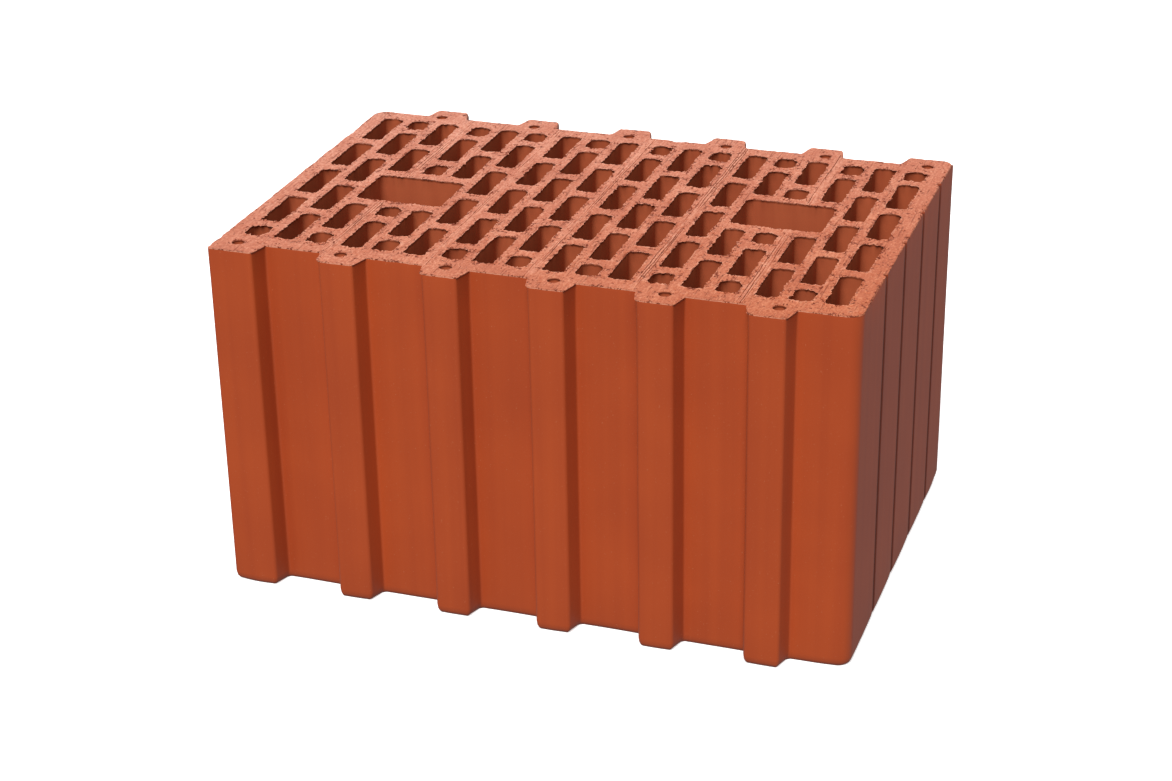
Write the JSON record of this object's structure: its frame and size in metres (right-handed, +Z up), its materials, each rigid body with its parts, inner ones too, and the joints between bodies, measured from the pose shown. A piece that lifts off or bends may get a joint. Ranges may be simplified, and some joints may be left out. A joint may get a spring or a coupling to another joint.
{
  "type": "hollow clay block",
  "caption": "Large hollow fired-clay walling block with staggered upright cells, hand holes, tongue-and-groove joint faces and lightly grooved end faces.",
  "frame": {"origin": "middle of the underside", "axes": "+X across the wall, between the end faces; +Y along the wall, from the joint face whose left corner is a tongue to the other joint face; +Z up, along the cells"},
  "size_m": [0.38, 0.2606, 0.219],
  "materials": {
    "fired_clay": "matt fired terracotta, smooth where extruded and rough where wire-cut"
  },
  "bodies": {
    "root": {"clay_block": "fired_clay"}
  },
  "joints": []
}
